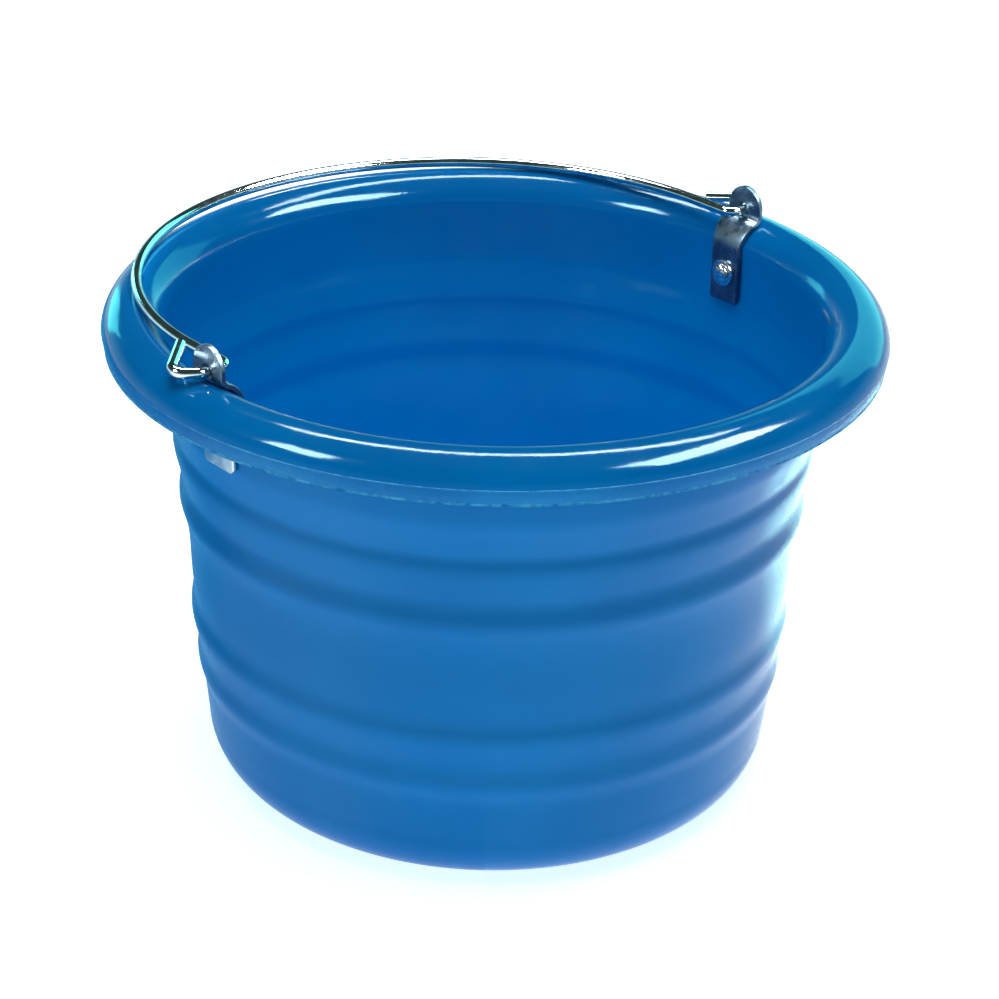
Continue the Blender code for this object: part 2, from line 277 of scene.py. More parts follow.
def cut(obj, cutter):
    """Subtract cutter from obj for good, then throw the cutter away."""
    modifier = obj.modifiers.new("cut", "BOOLEAN")
    modifier.operation = "DIFFERENCE"
    modifier.solver = "EXACT"
    modifier.object = cutter
    graph = bpy.context.evaluated_depsgraph_get()
    solid = bpy.data.meshes.new_from_object(obj.evaluated_get(graph))
    obj.modifiers.clear()
    obj.data = solid
    bpy.data.objects.remove(cutter, do_unlink=True)


for reach in (-1, 1):
    cut(tub, rod_along_x("bore", 3.4 * MM, reach * 172 * MM, reach * 192 * MM, bolt_axis))
tub.data.shade_smooth()
tub.data.set_sharp_from_angle(angle=math.radians(38))
print("tub faces after drilling:", len(tub.data.polygons))

# %% [markdown]
# ## The blue plastic
#
# The tub is coloured right through and has a high gloss with a faint orange-peel surface from the
# mould. A Principled shader does this well. Two close blues are mixed by a slow noise, so that the
# colour isn't dead flat. Where the knife went, the plastic is rougher, and its blue is mottled paler
# as painted sparkle of light; the ridge and bead are paler still, as painted highlight. A second noise
# varies the roughness, and two sizes of bump break up the edges of reflections. The specular tint
# leans to cyan because light that skims a glossy blue plastic picks up some of its colour.

# %% Node helpers
def new_material(name):
    mat = bpy.data.materials.new(name)
    mat.use_nodes = True
    return mat, mat.node_tree, mat.node_tree.nodes["Principled BSDF"]


def noise_node(tree, scale, detail=3.0, stretch=(1, 1, 1)):
    """Noise in the object's own metres; stretch squeezes it along an axis to make streaks."""
    place = tree.nodes.new("ShaderNodeTexCoord")
    mapping = tree.nodes.new("ShaderNodeMapping")
    mapping.inputs["Scale"].default_value = stretch
    grain = tree.nodes.new("ShaderNodeTexNoise")
    grain.inputs["Scale"].default_value = scale
    grain.inputs["Detail"].default_value = detail
    tree.links.new(place.outputs["Object"], mapping.inputs["Vector"])
    tree.links.new(mapping.outputs["Vector"], grain.inputs["Vector"])
    return grain.outputs["Fac"]


def ramp(tree, value, stops):
    """Colour ramp with (position, colour) stops."""
    node = tree.nodes.new("ShaderNodeValToRGB")
    elements = node.color_ramp.elements
    elements[0].position, elements[0].color = stops[0][0], (*stops[0][1], 1)
    elements[1].position, elements[1].color = stops[-1][0], (*stops[-1][1], 1)
    for position, colour in stops[1:-1]:
        elements.new(position).color = (*colour, 1)
    tree.links.new(value, node.inputs["Fac"])
    return node.outputs["Color"]


def spread(tree, value, low, high):
    """Map a 0..1 noise to low..high."""
    node = tree.nodes.new("ShaderNodeMapRange")
    node.inputs["From Min"].default_value = 0.3
    node.inputs["From Max"].default_value = 0.7
    node.inputs["To Min"].default_value = low
    node.inputs["To Max"].default_value = high
    tree.links.new(value, node.inputs["Value"])
    return node.outputs["Result"]


def bumps(tree, shader, layers):
    """Stack bump layers of (noise, strength, distance) and feed them to the shader's normal."""
    last = None
    for value, strength, distance in layers:
        node = tree.nodes.new("ShaderNodeBump")
        node.inputs["Strength"].default_value = strength
        node.inputs["Distance"].default_value = distance
        tree.links.new(value, node.inputs["Height"])
        if last:
            tree.links.new(last, node.inputs["Normal"])
        last = node.outputs["Normal"]
    tree.links.new(last, shader.inputs["Normal"])


# %% Blue plastic
def blue_plastic(name, deep, light, rough_low, rough_high, peel, mottle=11):
    mat, tree, shader = new_material(name)
    tree.links.new(ramp(tree, noise_node(tree, mottle, 4), [(0.35, deep), (0.65, light)]),
                   shader.inputs["Base Color"])
    tree.links.new(spread(tree, noise_node(tree, 60, 5), rough_low, rough_high),
                   shader.inputs["Roughness"])
    shader.inputs["Specular IOR Level"].default_value = 0.17
    shader.inputs["Specular Tint"].default_value = (0.55, 0.95, 1.0, 1.0)
    bumps(tree, shader, [(noise_node(tree, 32, 2), 0.25, 1.2 * MM), (noise_node(tree, 520, 3), peel, 0.12 * MM)])
    return mat


gloss_blue = blue_plastic("gloss_blue_plastic", (0.0, 0.138, 0.42), (0.0, 0.158, 0.46), 0.07, 0.14, 0.25)
# The cut strip is rougher for real, and the paler part of its mottle is painted sparkle of light.
cut_blue_painted_sparkle = blue_plastic("knife_cut_painted_sparkle_plastic", (0.0, 0.13, 0.41), (0.005, 0.19, 0.49), 0.16, 0.36, 1.0)
# The pale blue of this plastic is painted highlight: it draws the bright lines on the ridge and bead.
burr_painted_highlight_blue = blue_plastic("burr_painted_highlight_plastic", (0.0, 0.15, 0.44), (0.06, 0.36, 0.62), 0.18, 0.4, 1.0, 240)
print("plastics:", gloss_blue.name, cut_blue_painted_sparkle.name, burr_painted_highlight_blue.name)

# %% Put the plastics on the tub
tub.data.materials.clear()
tub.data.materials.append(gloss_blue)
tub.data.materials.append(cut_blue_painted_sparkle)
tub.data.materials.append(burr_painted_highlight_blue)
band_low, band_high = min(p.y for p in band), max(p.y for p in band)
band_inner = roll_centre[0] + roll_skin[0] * 0.8
for face in tub.data.polygons:
    middle = face.center
    outside = math.hypot(middle.x, middle.y) > band_inner
    if outside and band_low < middle.z < band_high:
        # Faces in the ridge and bead rows get the pale blue, a painted highlight.
        ridge_bead_highlight_row = middle.z < band_low + 1.1 * MM or middle.z > band_high - 0.9 * MM
        face.material_index = 2 if ridge_bead_highlight_row else 1
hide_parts("bucket_tub")
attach(tub, "bucket")
print("trimmed faces:", sum(f.material_index > 0 for f in tub.data.polygons))

# %% [markdown]
# ## The bail: one length of wire
#
# The bail is 6 mm plated wire: a hoop, two short straight legs, and a hook at each end that passes
# out through the ear and folds back beside the leg, so that it can't spring out. Its centre line is
# a few corners, each rounded to the radius of the bending tool. A curve object with a round bevel
# would do, but a loft lets the cut ends be chamfered.

# %% Rounding the corners of a path
def rounded_path(corners, radii, degrees_per_step=6):
    """A polyline through the corners, with each inner corner replaced by an arc."""
    path = [Vector(corners[0])]
    for before, corner, after, radius in zip(corners, corners[1:], corners[2:], radii):
        corner = Vector(corner)
        to_before = (Vector(before) - corner).normalized()
        to_after = (Vector(after) - corner).normalized()
        half_angle = to_before.angle(to_after) / 2
        centre = corner + (to_before + to_after).normalized() * (radius / math.sin(half_angle))
        first = corner + to_before * (radius / math.tan(half_angle)) - centre
        last = corner + to_after * (radius / math.tan(half_angle)) - centre
        sweep = first.angle(last)
        steps = max(3, round(math.degrees(sweep) / degrees_per_step))
        for i in range(steps + 1):
            mix = first * math.sin((1 - i / steps) * sweep) + last * math.sin(i / steps * sweep)
            path.append(centre + mix / math.sin(sweep))
    path.append(Vector(corners[-1]))
    return path


# %% The wire's centre line
wire_radius = 3 * MM
bail_radius = 179 * MM
bail_leg = 29 * MM
bail_droop = math.radians(0.8)


def hook(sign, tip_lift):
    """From a hook's tip, out round the elbow, in through the ear, to the top of the leg."""
    corners = [(sign * 187.5 * MM, 30 * MM, tip_lift), (sign * 210.5 * MM, 7 * MM, 1 * MM),
               (sign * 196 * MM, 0, 0), (sign * bail_radius, 0, 0),
               (sign * bail_radius, bail_leg - 2 * MM, 0)]
    return rounded_path(corners, [6 * MM, 8 * MM, 6 * MM])


hoop_turns = [math.pi * (1 - i / 96) for i in range(97)]
hoop = [Vector((bail_radius * math.cos(t), bail_leg + bail_radius * math.sin(t), 0)) for t in hoop_turns]
bail_line = hook(-1, 4 * MM) + hoop + hook(1, 0.0)[::-1]
lay_down = Matrix.Translation((0, 0, pivot_height)) @ Matrix.Rotation(-bail_droop, 4, "X")
bail_line = [lay_down @ p for p in bail_line]
wire_length = sum((b - a).length for a, b in zip(bail_line, bail_line[1:]))
print(f"wire in the bail: {wire_length:.3f} m")


# %% Loft the wire
def tube_rings(path, radius_at, count=20):
    """Round rings square to the path, carried along it without twisting."""
    side = Vector((0, 0, 1))
    rings = []
    for i, point in enumerate(path):
        ahead = (path[min(i + 1, len(path) - 1)] - path[max(i - 1, 0)]).normalized()
        side = (side - ahead * side.dot(ahead)).normalized()
        other = ahead.cross(side)
        radius = radius_at(i)
        rings.append([point + radius * (side * math.cos(2 * math.pi * k / count)
                                        + other * math.sin(2 * math.pi * k / count))
                      for k in range(count)])
    return rings


def chamfered_ends(path, chamfer):
    """Add a close pair of points at each end of a path, for a chamfer there."""
    first = path[0] + (path[1] - path[0]).normalized() * chamfer
    last = path[-1] + (path[-2] - path[-1]).normalized() * chamfer
    return [path[0], first] + path[1:-1] + [last, path[-1]]


wire_line = chamfered_ends(bail_line, 0.7 * MM)
end_rows = (0, len(wire_line) - 1)
bail = loft("bail_wire_bent", tube_rings(wire_line, lambda i: wire_radius - (0.7 * MM if i in end_rows else 0)),
            sharp_degrees=30)
print("wire faces:", len(bail.data.polygons))

# %% [markdown]
# ## Bright plating
#
# Plated wire is nearly a mirror, but never quite: the drawing die leaves faint marks, fingers leave
# a haze, and the plating is a little thicker here and there. The shader is fully metallic, and the
# noise goes into the roughness and a very fine bump. Flat bar is polished less evenly than wire,
# so the same recipe is used for it with more roughness and a dark blue-grey colour, which is
# painted reflection of the blue tub and painted shade over its highlights.

# %% Bright metals
def bright_metal(name, dark, pale, rough_low, rough_high, bump, scale=90):
    mat, tree, shader = new_material(name)
    shader.inputs["Metallic"].default_value = 1.0
    tree.links.new(ramp(tree, noise_node(tree, scale, 6), [(0.32, dark), (0.62, pale)]),
                   shader.inputs["Base Color"])
    tree.links.new(spread(tree, noise_node(tree, scale * 3, 5), rough_low, rough_high),
                   shader.inputs["Roughness"])
    bumps(tree, shader, [(noise_node(tree, 1400, 4), bump, 0.05 * MM),
                         (noise_node(tree, 160, 2), bump, 0.15 * MM)])
    return mat


plated_wire = bright_metal("plated_wire", (0.56, 0.58, 0.60), (0.80, 0.82, 0.83), 0.04, 0.13, 0.12)
# The flat bar's dark blue-grey is painted: it stands for the blue tub's reflection, and as painted shade it damps
# the highlights.
strap_metal_painted_reflection = bright_metal("flat_bar_painted_blue_reflection", (0.08, 0.14, 0.19), (0.16, 0.23, 0.29), 0.24, 0.38, 0.2)
bail.data.materials.append(plated_wire)
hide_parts("bail_handle")
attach(bail, "bail")
print("metals:", plated_wire.name, strap_metal_painted_reflection.name)

# %% [markdown]
# ## Lug straps
#
# A strap is 21 x 3 mm flat bar. Its dark blue-grey colour is painted reflection of the blue tub and
# painted shade that keeps its bend from shining. It lies flat on the inside of the wall and bends
# out over the shoulder of the rim. There it widens and stands up as a round ear, 25 mm across, with
# the pivot hole. Its edges are rolled round by the mill. Lofting a small rounded rectangle along the
# bend gives those edges for free, and narrowing the rectangle near the top draws the round ear.

# %% The strap's side view
strap_thickness = 3 * MM
foot_half_width = 10.5 * MM
ear_radius = 12.5 * MM
ear_distance = 191 * MM
strap_roll = (roll_skin[0] + 2.6 * MM, roll_skin[1] + 2.6 * MM)
strap_corners = [Vector((177.4 * MM, z * MM)) for z in (234.5, 243, 250, 257, 262)]
strap_line = smooth_through(strap_corners + arc(roll_centre, strap_roll, 176, 125, 5)
                            + [Vector(p) * MM for p in ((188.6, 283.5), (190.4, 285.2), (191.0, 287.0))],
                            0.9 * MM)
stand = [Vector((ear_distance, z)) for z in np.linspace(287.6 * MM, ear_top - ear_radius, 4)]
crown = [Vector((ear_distance, ear_top - ear_radius * (1 - math.sin(a)))) for a in np.linspace(0.12, 1.5, 22)]
strap_line += stand + crown
print("strap stations:", len(strap_line))


# %% Rounded rectangle rings along the strap
def rounded_bar(centre, across, half_width, thickness, edge):
    """A ring in the plane of +Y and `across`, a rectangle with its corners rounded."""
    half = thickness / 2
    edge = min(edge, half_width * 0.9)
    ring = []
    for sy, sn, start in ((1, 1, 0), (-1, 1, 90), (-1, -1, 180), (1, -1, 270)):
        for k in range(5):
            a = math.radians(start + 22.5 * k)
            y = sy * (half_width - edge) + edge * math.cos(a)
            n = sn * (half - edge) + edge * math.sin(a)
            ring.append(Vector((centre.x + across.x * n, y, centre.y + across.y * n)))
    return ring


def strap_rings():
    rings = []
    crown_centre = ear_top - ear_radius
    for i, point in enumerate(strap_line):
        ahead = (strap_line[min(i + 1, len(strap_line) - 1)] - strap_line[max(i - 1, 0)]).normalized()
        across = Vector((ahead.y, -ahead.x))
        above = max(0.0, point.y - crown_centre)
        widening = max(0.0, min(1.0, (point.y - 270 * MM) / (12 * MM)))
        wide = foot_half_width + (ear_radius - foot_half_width) * widening
        half_width = math.sqrt(max(wide ** 2 - above ** 2, (0.9 * MM) ** 2))
        foot = 0.5 * MM if i == 0 else 0.0
        rings.append(rounded_bar(point, across, half_width - foot, strap_thickness - 2 * foot, 0.7 * MM))
    return rings


strap_ring_list = strap_rings()
print("strap rings:", len(strap_ring_list))

# %% [markdown]
# ## Holes with broken edges
#
# A drilled or punched hole in bar is deburred, which leaves a small cone at its mouth. The cutter
# is a rod with a flare at each face of the strap, so one Boolean makes the hole and both cones.
# The left-hand strap is the same part turned half a turn about the bucket's axis.

# %% Make both straps
def flared_rod(name, radius, faces, height, flare=0.45 * MM):
    """A rod along X that flares where it meets the faces at faces[0] and faces[1]."""
    inner, outer = faces
    stations = [(inner - 4 * MM, radius + flare), (inner - 0.05 * MM, radius + flare), (inner + flare, radius),
                (outer - flare, radius), (outer + 0.05 * MM, radius + flare), (outer + 4 * MM, radius + flare)]
    count = 40
    rings = [[(x, r * math.cos(2 * math.pi * i / count), height + r * math.sin(2 * math.pi * i / count))
              for i in range(count)] for x, r in stations]
    return loft(name, rings)


def half_turn(obj):
    """Turn a mesh half a turn about the bucket's axis, for the left-hand side."""
    obj.data.transform(Matrix.Rotation(math.pi, 4, "Z"))
    return obj


def dress(obj, node, material, sharp_degrees=38):
    obj.data.materials.clear()
    obj.data.materials.append(material)
    obj.data.shade_smooth()
    obj.data.set_sharp_from_angle(angle=math.radians(sharp_degrees))
    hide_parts(node)
    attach(obj, "bucket")


for side in ("right", "left"):
    strap = loft(f"lug_bar_{side}", strap_ring_list)
    cut(strap, flared_rod("pivot_bore", 4 * MM, (189.5 * MM, 192.5 * MM), pivot_height))
    cut(strap, flared_rod("bolt_bore", 3.4 * MM, (175.9 * MM, 178.9 * MM), bolt_axis))
    if side == "left":
        half_turn(strap)
    dress(strap, f"lug_strap_{side}", strap_metal_painted_reflection)
    print(strap.name, "faces:", len(strap.data.polygons))

# %% [markdown]
# ## Backing plates
#
# On the outside of the wall, a small zinc plate spreads the load of the bolt so that it can't pull
# through the plastic. Most of it hides up under the rim and only its lower end shows. It is punched
# from sheet, so its corners are rounded and its edges are barely softened. Zinc dipping leaves a
# crystal pattern called spangle, which a Voronoi texture imitates: each cell is one crystal.

# %% Spangled zinc
def spangled_zinc(name):
    mat, tree, shader = new_material(name)
    shader.inputs["Metallic"].default_value = 1.0
    cells = tree.nodes.new("ShaderNodeTexVoronoi")
    cells.inputs["Scale"].default_value = 260
    place = tree.nodes.new("ShaderNodeTexCoord")
    tree.links.new(place.outputs["Object"], cells.inputs["Vector"])
    tone = tree.nodes.new("ShaderNodeSeparateColor")
    tree.links.new(cells.outputs["Color"], tone.inputs["Color"])
    tree.links.new(ramp(tree, tone.outputs["Red"], [(0.0, (0.42, 0.58, 0.61)), (1.0, (0.56, 0.70, 0.72))]),
                   shader.inputs["Base Color"])
    tree.links.new(spread(tree, tone.outputs["Green"], 0.24, 0.40), shader.inputs["Roughness"])
    bumps(tree, shader, [(noise_node(tree, 900, 4), 0.2, 0.05 * MM)])
    return mat


sheet_zinc = spangled_zinc("spangled_zinc_sheet")
print("zinc:", sheet_zinc.name)


# %% Make both plates
def plate_outline(low, high, half_width, corner, inset):
    """Rounded rectangle seen along X, as (y, z) points, shrunk by inset."""
    points = []
    for sy, z, start in ((1, low, -90), (1, high, 0), (-1, high, 90), (-1, low, 180)):
        inward = corner if z == low else -corner
        centre = (sy * (half_width - corner), z + inward)
        points += arc(centre, (corner - inset, corner - inset), start, start + 90, 6)
    return points


def softened_plate(name, low, high, half_width, corner, start, end, soft):
    stations = [(start, soft), (start + soft * 0.35, soft * 0.3), (start + soft, 0), (end - soft, 0),
                (end - soft * 0.35, soft * 0.3), (end, soft)]
    return loft(name, [[(x, p.x, p.y) for p in plate_outline(low, high, half_width, corner, inset)]
                       for x, inset in stations])


for side in ("right", "left"):
    low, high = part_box("backing_plate_right")
    plate = softened_plate(f"wall_plate_{side}", low.z, high.z, high.y, 3 * MM, low.x, high.x, 0.4 * MM)
    cut(plate, flared_rod("plate_bore", 3.4 * MM, (low.x, high.x), bolt_axis, 0.3 * MM))
    if side == "left":
        half_turn(plate)
    dress(plate, f"backing_plate_{side}", sheet_zinc)
    print(plate.name, "faces:", len(plate.data.polygons))

# %% [markdown]
# ## Bolts with a real thread
#
# The bolts are M6 roofing bolts: a low mushroom head with a screwdriver slot, so that nothing
# sharp stands into the feed. The thread is lofted too. Each ring has the same points, but their
# radius rises and falls with the angle plus the distance along the bolt, and that sum is exactly
# what a helix is. One full wave of the sum is one pitch, 1 mm.

# %% Rows of a bolt
def ring_about_x(x, radius_at, height, count):
    """A ring square to X about the bolt's axis; radius_at gives the radius for each angle."""
    turns_x = [2 * math.pi * i / count for i in range(count)]
    return [(x, radius_at(t) * math.cos(t), height + radius_at(t) * math.sin(t)) for t in turns_x]


def thread_radius(x, pitch=1.0 * MM, crest=3.0 * MM, depth=0.55 * MM):
    def radius_at(turn):
        phase = (x / pitch + turn / (2 * math.pi)) % 1.0
        return crest - depth * min(1.0, 2.4 * abs(phase - 0.5))
    return radius_at


def bolt_rings():
    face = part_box("flat_washer_right")[0].x - 0.3 * MM
    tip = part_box("lug_bolt_right")[1].x
    dome = [Vector((face - 0.8 * MM - 2.5 * MM * math.cos(a), 5.5 * MM * math.sin(a)))
            for a in np.linspace(0.06, math.pi / 2, 14)]
    rows = [(p.x, lambda t, r=p.y: r) for p in dome]
    rows += [(face - 0.25 * MM, lambda t: 5.5 * MM), (face, lambda t: 5.3 * MM), (face, lambda t: 3.1 * MM)]
    rows += [(face + 0.3 * MM, lambda t: 2.95 * MM), (182 * MM, lambda t: 2.95 * MM)]
    rows += [(x, thread_radius(x)) for x in np.arange(183 * MM, tip - 0.6 * MM, 0.125 * MM)]
    rows += [(tip - 0.3 * MM, lambda t: 2.4 * MM), (tip, lambda t: 2.1 * MM)]
    return [ring_about_x(x, radius_at, bolt_axis, 40) for x, radius_at in rows]


bolt_ring_list = bolt_rings()
print("bolt rings:", len(bolt_ring_list))

# %% [markdown]
# ## Bright zinc for the small parts
#
# Bolts, nuts and washers are barrel plated. They tumble against each other in the bath, which
# leaves them bright with many tiny scuffs and a faint straw and blue tint from the passivating dip.

# %% Barrel plated zinc
def barrel_zinc(name):
    mat, tree, shader = new_material(name)
    shader.inputs["Metallic"].default_value = 1.0
    tint = [(0.3, (0.60, 0.63, 0.66)), (0.5, (0.74, 0.75, 0.74)), (0.7, (0.70, 0.69, 0.60))]
    tree.links.new(ramp(tree, noise_node(tree, 260, 3), tint), shader.inputs["Base Color"])
    tree.links.new(spread(tree, noise_node(tree, 1100, 5), 0.10, 0.30), shader.inputs["Roughness"])
    bumps(tree, shader, [(noise_node(tree, 1800, 4), 0.3, 0.04 * MM)])
    return mat


bolt_zinc = barrel_zinc("barrel_zinc")


# %% Make both bolts
def slot_cutter(angle):
    """A thin blade across the head, 1.2 mm wide and 1.3 mm deep, at the angle it was left at."""
    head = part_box("lug_bolt_right")[0].x
    half = 0.6 * MM
    blade = [(-half, -8 * MM), (half, -8 * MM), (half, 8 * MM), (-half, 8 * MM)]
    turned = [(y * math.cos(angle) - z * math.sin(angle), y * math.sin(angle) + z * math.cos(angle))
              for y, z in blade]
    return loft("slot", [[(x, y, bolt_axis + z) for y, z in turned] for x in (head - MM, head + 1.3 * MM)])


for side, slot_angle in (("right", 0.6), ("left", -1.1)):
    bolt = loft(f"roofing_bolt_{side}", bolt_ring_list)
    cut(bolt, slot_cutter(slot_angle))
    if side == "left":
        half_turn(bolt)
    dress(bolt, f"lug_bolt_{side}", bolt_zinc, 32)
    print(bolt.name, "faces:", len(bolt.data.polygons))

# %% [markdown]
# ## Washers
#
# The flat washer is stamped: one face has a soft rolled edge and the other a sharp one. The spring
# washer is a ring of square wire with one cut, wound as a very short helix so that its ends bite.
# Both are lofts of their small cross-section round the bolt, the first wrapped into a ring and the
# second left open at the cut.

# %% Rings of section round the bolt
def around_bolt(section_at, turns_list):
    """Place a small (radius, x) section at each angle round the bolt's axis."""
    rings = []
    for turn in turns_list:
        rings.append([(x, radius * math.cos(turn), bolt_axis + radius * math.sin(turn))
                      for radius, x in section_at(turn)])
    return rings


def washer_section(turn):
    low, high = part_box("flat_washer_right")
    outer = 8 * MM
    return [(3.4 * MM, low.x + 0.2 * MM), (3.6 * MM, low.x), (outer - 0.6 * MM, low.x),
            (outer - 0.2 * MM, low.x + 0.15 * MM), (outer, low.x + 0.6 * MM), (outer, high.x - 0.05 * MM),
            (outer - 0.1 * MM, high.x), (3.5 * MM, high.x), (3.4 * MM, high.x - 0.1 * MM)]


def spring_section(turn):
    low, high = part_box("spring_washer_right")
    climb = (high.x - low.x - 1.3 * MM) * turn / (2 * math.pi)
    inner, outer, soft = 3.4 * MM, 5.8 * MM, 0.12 * MM
    start, end = low.x + climb, low.x + climb + 1.3 * MM
    return [(inner + soft, start), (outer - soft, start), (outer, start + soft), (outer, end - soft),
            (outer - soft, end), (inner + soft, end), (inner, end - soft), (inner, start + soft)]


full_ring = [2 * math.pi * i / 56 for i in range(56)]
split_ring = np.linspace(math.radians(6), math.radians(354), 50)

# %% Make the washers
for side in ("right", "left"):
    flat = loft(f"flat_ring_{side}", around_bolt(washer_section, full_ring), wrap=True)
    split = loft(f"split_ring_{side}", around_bolt(spring_section, split_ring))
    if side == "left":
        half_turn(flat)
        half_turn(split)
    dress(flat, f"flat_washer_{side}", bolt_zinc)
    dress(split, f"spring_washer_{side}", bolt_zinc)
    print(flat.name, len(flat.data.polygons), split.name, len(split.data.polygons))

# %% [markdown]
# ## Nuts
#
# A hexagon nut is a hexagonal bar that has been faced in a lathe, and the lathe leaves a curved
# chamfer on each corner. Taking the smaller of two radii at each point, the hexagon's and the
# cone's, gives that curve without any cutting. The inside carries the same thread as the bolt.

# %% Rows of a nut
def nut_rings():
    low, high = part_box("lug_nut_right")
    flat = 5 * MM

    def hexagon(turn):
        return flat / math.cos((turn + math.pi / 6) % (math.pi / 3) - math.pi / 6)

    def chamfered(x):
        depth = min(x - low.x, high.x - x)
        return lambda turn: min(hexagon(turn), flat * 1.01 + depth * 1.9)

    outside = [(x, chamfered(x)) for x in np.linspace(low.x, high.x, 23)]
    mouth = [(high.x, lambda t: 3.5 * MM), (high.x - 0.35 * MM, lambda t: 3.15 * MM)]
    bore_x = np.arange(high.x - 0.5 * MM, low.x + 0.5 * MM, -0.125 * MM)
    bore = [(x, lambda t, x=x: thread_radius(x)(t) + 0.12 * MM) for x in bore_x]
    back = [(low.x + 0.35 * MM, lambda t: 3.15 * MM), (low.x, lambda t: 3.5 * MM)]
    rows = outside + mouth + bore + back
    return [ring_about_x(x, radius_at, bolt_axis, 48) for x, radius_at in rows]


nut_ring_list = nut_rings()
for side in ("right", "left"):
    nut = loft(f"hex_nut_{side}", nut_ring_list, wrap=True)
    if side == "left":
        half_turn(nut)
    dress(nut, f"lug_nut_{side}", bolt_zinc, 28)
    print(nut.name, "faces:", len(nut.data.polygons))

# %% [markdown]
# ## Camera
#
# A catalogue picture of a bucket is taken with a long lens from a little above, so the rim reads as
# a wide ellipse and the inside shows. The camera is 1.6 m away at 27 degrees above the horizon and
# looks at the middle of the wall. It was tipped by a degree and a half, which is kept here, and a
# small shift sets the bucket a little low in the frame.

# %% Set up the camera
view_turn = math.radians(-41.0)
view_rise = math.radians(27.37)
view_distance = 1.6
view_tip = math.radians(1.43)
aim = Vector((0, 0, 0.130))

back = Vector((math.sin(view_turn) * math.cos(view_rise), -math.cos(view_turn) * math.cos(view_rise),
               math.sin(view_rise)))
camera = bpy.data.objects.new("camera", bpy.data.cameras.new("camera"))
bpy.context.scene.collection.objects.link(camera)
camera.data.lens = 101.06
camera.data.sensor_width = 36.0
camera.data.shift_x = 0.0089
camera.data.shift_y = 0.0429
camera.location = aim + back * view_distance
look = (-back).to_track_quat("-Z", "Y").to_matrix().to_4x4()
camera.rotation_euler = (look @ Matrix.Rotation(view_tip, 4, "Z")).to_euler()
bpy.context.scene.camera = camera
print("camera at", [round(v, 3) for v in camera.location])

# %% [markdown]
# ## Floor and light
#
# Glossy plastic and bright wire show what is around them, so the work is split. Softboxes are seen
# only in reflections: a wide one draws the long streak on the rim, a smaller one answers it on the
# left, a strip draws the fine line along the crest, and two cyan panels low behind the bucket glow
# on its flanks. Silks and a small lamp inside only lift the shadows. The floor is a wide pale sheet
# that glows a little, so that it stays white round the bucket. A spot makes it brighter beyond the
# bucket's right-hand side, and a deep blue flag keeps the left-hand edge rich. The room is pale near
# the floor and dark above, and the dark part is what puts a black core into the wire.

# %% Lay the floor
def pale_floor():
    mat, tree, shader = new_material("pale_floor")
    tree.links.new(ramp(tree, noise_node(tree, 3, 3), [(0.3, (0.86, 0.86, 0.86)), (0.7, (0.88, 0.88, 0.88))]),
                   shader.inputs["Base Color"])
    shader.inputs["Roughness"].default_value = 0.7
    shader.inputs["Specular IOR Level"].default_value = 0.2
    shader.inputs["Emission Color"].default_value = (0.84, 0.94, 1, 1)
    shader.inputs["Emission Strength"].default_value = 0.88
    return mat


floor = bpy.data.objects.new("floor", bpy.data.meshes.new("floor"))
corner = 9.0
floor.data.from_pydata([(-corner, -corner, -0.0002), (corner, -corner, -0.0002), (corner, corner, -0.0002),
                        (-corner, corner, -0.0002)], [], [(0, 1, 2, 3)])
bpy.context.scene.collection.objects.link(floor)
floor.data.materials.append(pale_floor())


# %% Hang the lights
def softbox(name, azimuth, rise, distance, width, height, power, around=(0, 0, 0.2), colour=(1, 1, 1)):
    """An area light at that azimuth (from +X towards +Y) and rise, facing the bucket."""
    data = bpy.data.lights.new(name, "AREA")
    data.shape = "RECTANGLE"
    data.size, data.size_y = width, height
    data.energy = power
    data.color = colour
    light = bpy.data.objects.new(name, data)
    bpy.context.scene.collection.objects.link(light)
    a, e = math.radians(azimuth), math.radians(rise)
    out = Vector((math.cos(a) * math.cos(e), math.sin(a) * math.cos(e), math.sin(e)))
    light.location = Vector(around) + out * distance
    light.rotation_euler = (-out).to_track_quat("-Z", "Y").to_euler()
    light.visible_diffuse = False
    return light


def fill(name, azimuth, rise, distance, size, power):
    """A very large soft light for the shadows, kept out of reflections as a silk far away is."""
    light = softbox(name, azimuth, rise, distance, size, size, power)
    light.visible_diffuse, light.visible_glossy = True, False
    return light


softbox("softbox_right", -49, 50, 1.9, 1.55, 0.6, 210, around=(-0.05, -0.19, 0.28))
softbox("softbox_left", 167, 38, 1.9, 0.55, 0.5, 62, around=(-0.18, -0.07, 0.28))
softbox("strip_behind", 44, 57, 1.9, 1.5, 0.32, 62, around=(-0.13, -0.15, 0.28))
softbox("panel_far_right", 23, 17, 1.9, 1.38, 1.16, 13, around=(0.15, -0.13, 0.28), colour=(0.12, 1.0, 0.95))
softbox("panel_far_left", 80, 8, 1.9, 0.5, 0.6, 5, around=(-0.15, 0.13, 0.28), colour=(0.12, 1.0, 0.95))
fill("silk_above", 0, 89, 1.9, 2.0, 37)
fill("silk_front", -131, 30, 2.2, 2.2, 3)


def lamp_inside():
    """A small lamp hung in the tub, unseen itself, so that the inside isn't left in the dark."""
    data = bpy.data.lights.new("lamp_inside", "POINT")
    data.energy = 0.62
    data.shadow_soft_size = 0.08
    lamp = bpy.data.objects.new("lamp_inside", data)
    bpy.context.scene.collection.objects.link(lamp)
    lamp.location = (0, 0, 0.15)
    lamp.visible_camera, lamp.visible_glossy = False, False


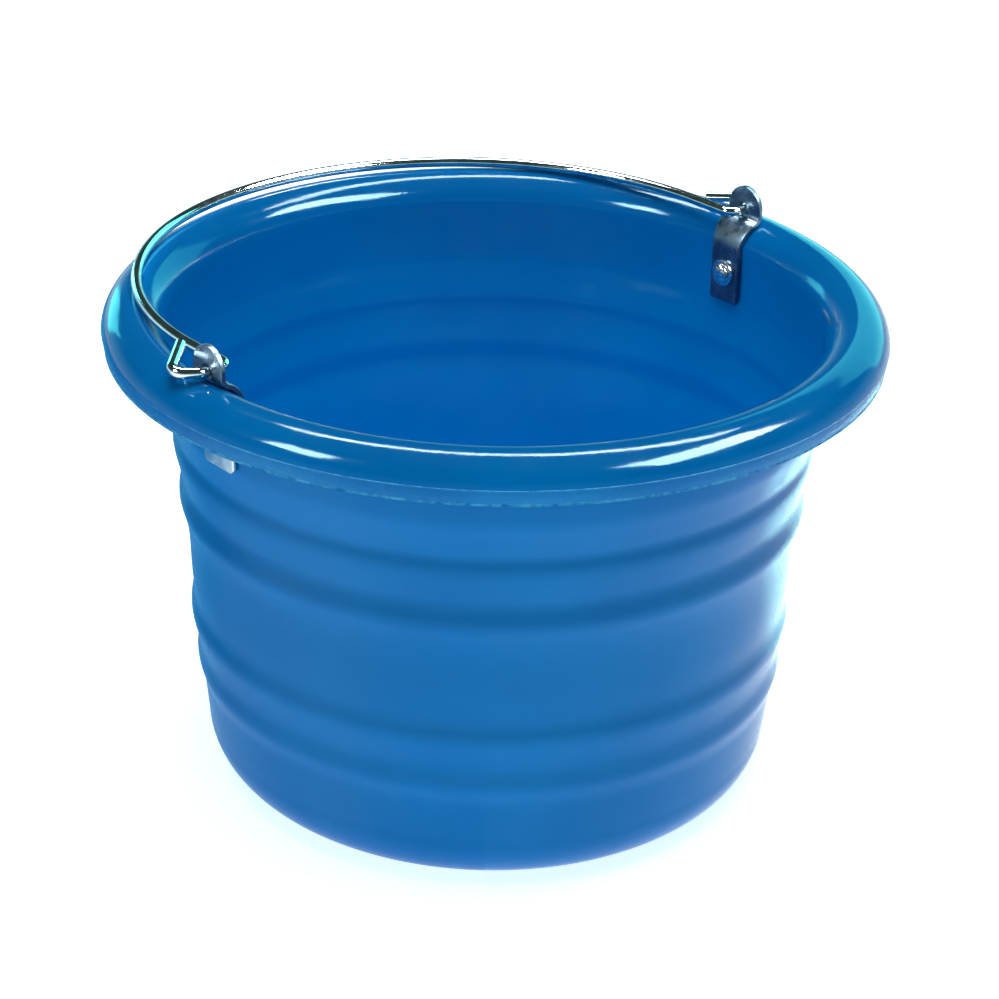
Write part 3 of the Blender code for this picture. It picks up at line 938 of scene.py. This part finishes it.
def pool_on_floor():
    """A narrow spot straight down on the floor beyond the bucket, whose pool shines in its far side."""
    data = bpy.data.lights.new("floor_pool", "SPOT")
    data.energy = 52
    data.color = (0.3, 1.0, 1.0)
    data.spot_size = math.radians(34)
    data.spot_blend = 0.5
    spot = bpy.data.objects.new("floor_pool", data)
    bpy.context.scene.collection.objects.link(spot)
    spot.location = (0.45, 0.03, 0.9)
    spot.visible_glossy = False


def flag_on_floor():
    """A blue sheet on the floor, seen only in reflections, that fades out towards the camera."""
    mat, tree, shader = new_material("deep_blue_flag")
    place = tree.nodes.new("ShaderNodeTexCoord")
    along_floor = tree.nodes.new("ShaderNodeVectorMath")
    along_floor.operation = "DOT_PRODUCT"
    along_floor.inputs[1].default_value = (-0.656, -0.755, 0)
    fade = tree.nodes.new("ShaderNodeMapRange")
    fade.interpolation_type = "SMOOTHSTEP"
    fade.inputs["From Min"].default_value = -0.15
    fade.inputs["From Max"].default_value = 0.47
    tree.links.new(place.outputs["Object"], along_floor.inputs[0])
    tree.links.new(along_floor.outputs["Value"], fade.inputs["Value"])
    tree.links.new(ramp(tree, fade.outputs["Result"], [(0.0, (0.02, 0.18, 0.42)), (1.0, (1.0, 1.0, 1.0))]),
                   shader.inputs["Emission Color"])
    shader.inputs["Base Color"].default_value = (0.0, 0.02, 0.05, 1)
    shader.inputs["Emission Strength"].default_value = 1.3
    sheet = bpy.data.meshes.new("floor_flag")
    sheet.from_pydata([(-0.90, -1.04, 0.0001), (0.98, 1.13, 0.0001), (-0.15, 2.11, 0.0001), (-2.04, -0.05, 0.0001)],
                      [], [(0, 1, 2, 3)])
    flag = bpy.data.objects.new("floor_flag", sheet)
    bpy.context.scene.collection.objects.link(flag)
    flag.data.materials.append(mat)
    flag.visible_camera, flag.visible_diffuse, flag.visible_shadow = False, False, False


lamp_inside()
pool_on_floor()
flag_on_floor()
print("lights:", len(bpy.data.lights))


# %% The room
def pale_room():
    """A room that is pale near the floor and dim higher up, so bright metal shows a dark core."""
    world = bpy.data.worlds.new("pale_room")
    world.use_nodes = True
    tree = world.node_tree
    place = tree.nodes.new("ShaderNodeTexCoord")
    height = tree.nodes.new("ShaderNodeSeparateXYZ")
    shade = tree.nodes.new("ShaderNodeMapRange")
    shade.interpolation_type = "SMOOTHSTEP"
    shade.inputs["From Min"].default_value = 0.02
    shade.inputs["From Max"].default_value = 0.3
    shade.inputs["To Min"].default_value = 0.9
    shade.inputs["To Max"].default_value = 0.05
    tree.links.new(place.outputs["Generated"], height.inputs["Vector"])
    tree.links.new(height.outputs["Z"], shade.inputs["Value"])
    glow = tree.nodes["Background"]
    glow.inputs["Color"].default_value = (0.5, 1.0, 1.0, 1.0)
    tree.links.new(shade.outputs["Result"], glow.inputs["Strength"])
    return world


bpy.context.scene.world = pale_room()
bpy.context.scene.view_settings.view_transform = "Standard"
print("room:", bpy.context.scene.world.name)
